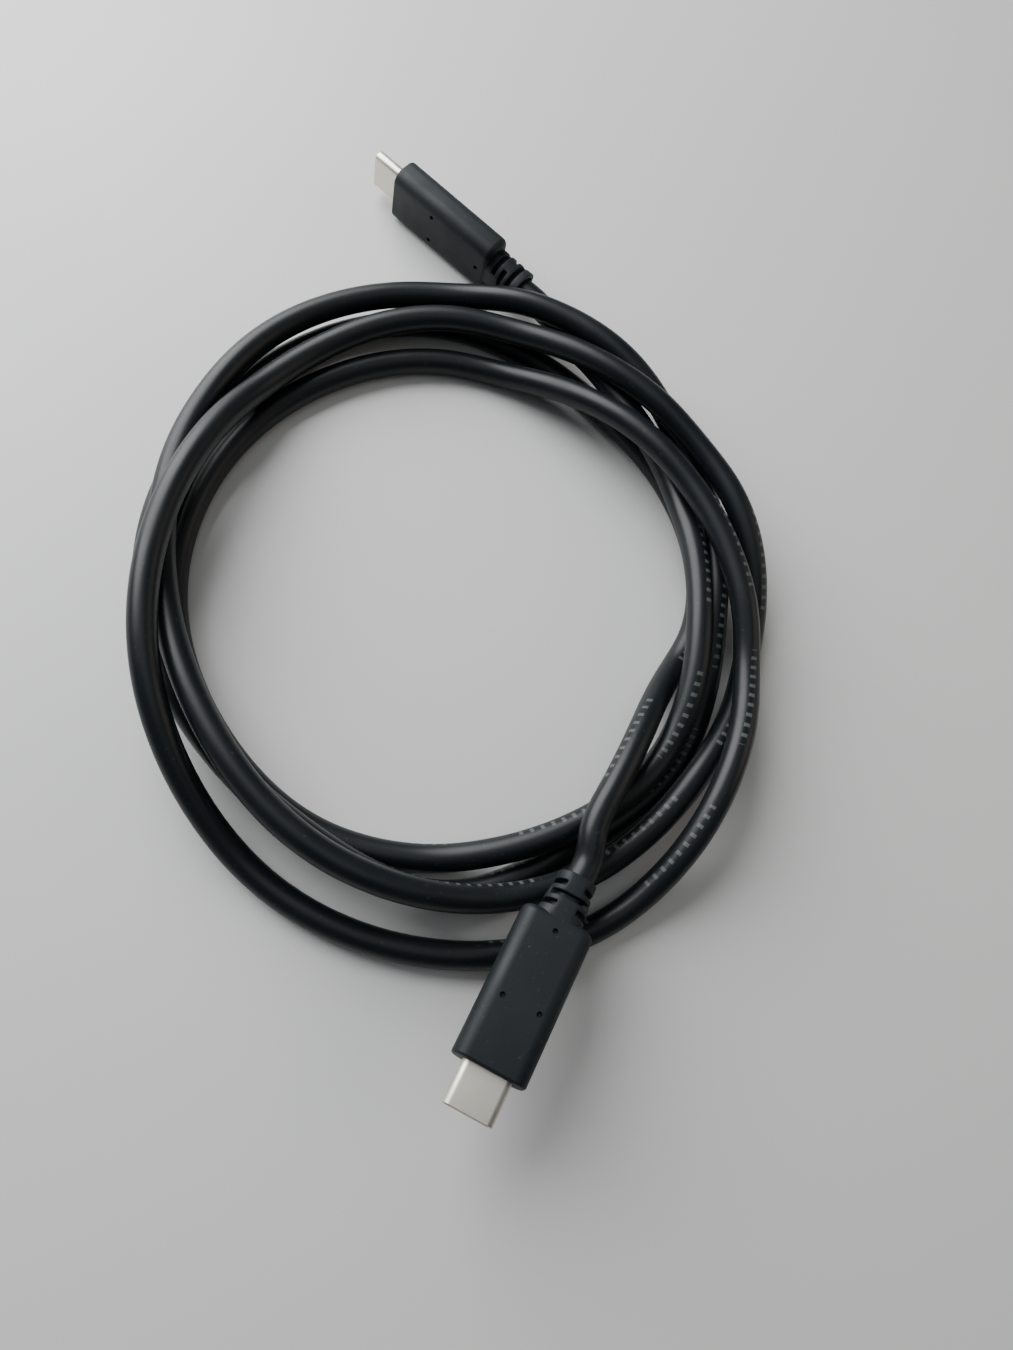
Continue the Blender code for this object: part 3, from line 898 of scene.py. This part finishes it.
def dress_plug(plug):
    """All the new pieces of one plug, and its insert."""
    shell = metal_shell(plug)
    map_along(shell)
    spring = latches(plug)
    map_along(spring)
    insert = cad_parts[f"{plug}_insert"]
    insert.data.materials.clear()
    insert.data.materials.append(HARD_PLASTIC)
    return [
        finish_piece(moulding(plug), plug, MOULDED, f"{plug}_overmold"),
        finish_piece(shell, plug, STEEL, f"{plug}_shell"),
        finish_piece(contacts(plug), plug, GOLD),
        finish_piece(spring, plug, STEEL),
        insert,
    ]


dressed = {plug: dress_plug(plug) for plug in PLUGS}
for plug, pieces in dressed.items():
    print(plug, {piece.name: len(piece.data.polygons) for piece in pieces})

# %% [markdown]
# ## The cord's facts
#
# The cable leaves the first plug's relief and ends in the second plug. Both ends are in the picture, so its
# length is the length of the route.

# %% The jacket gets its finish and is attached, and the plain cable is hidden
jacket.data.materials.append(JACKET)
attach(jacket, "root")
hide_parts("cable")
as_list(dressed["plug_b"])

# %% [markdown]
# ## Table top and light
#
# The coil lies on a pale, slightly warm table. A large soft light stands at the upper left, as a window
# would, so that the table is brightest there and fades to the lower right. A weaker, warmer one at the right
# opens the shadows, and a faint one overhead is what the flat metal and the tops of the plugs mirror.

# %% Table top
FLOOR_SIZE = 4.0
FLOOR_DROP = 0.05 * MM        # how far the table lies below the cable, so that no faces coincide

bpy.ops.object.select_all(action="DESELECT")
bpy.ops.mesh.primitive_plane_add(size=FLOOR_SIZE, location=(0, 0, -FLOOR_DROP))
table_top = bpy.context.object
table_top.name = "table_top"
pale, pale_shader = new_material("pale_table")
pale_wear = add_group(pale, WEAR, Scale=14.0, Smooth=0.42, Rough=0.50)
pale_patches = pale_wear.outputs["Roughness"]
pale_colour = add_mix(pale, pale_patches, (0.60, 0.60, 0.60), (0.60, 0.595, 0.575))
pale.node_tree.links.new(pale_colour, pale_shader.inputs["Base Color"])
pale.node_tree.links.new(pale_patches, pale_shader.inputs["Roughness"])
table_top.data.materials.append(pale)

# %% Lights
def soft_light(name, place, size, power, colour):
    data = bpy.data.lights.new(name, "AREA")
    data.shape = "DISK"
    data.size = size
    data.energy = power
    data.color = colour
    light = bpy.data.objects.new(name, data)
    bpy.context.scene.collection.objects.link(light)
    aim(light, Vector(place), LOOK_AT)


soft_light("window", (-0.29, 0.34, 0.30), 0.60, 8.2, (0.98, 0.99, 1.0))
soft_light("room", (0.60, 0.05, 0.35), 0.50, 0.7, (1.0, 0.88, 0.76))
soft_light("ceiling", (0.0, -0.05, 0.60), 0.50, 0.40, (0.95, 0.98, 1.0))

world = bpy.data.worlds.new("room_light")
world.use_nodes = True
sky = world.node_tree.nodes["Background"]
sky.inputs["Color"].default_value = (0.80, 0.86, 0.92, 1.0)
sky.inputs["Strength"].default_value = 0.13
bpy.context.scene.world = world
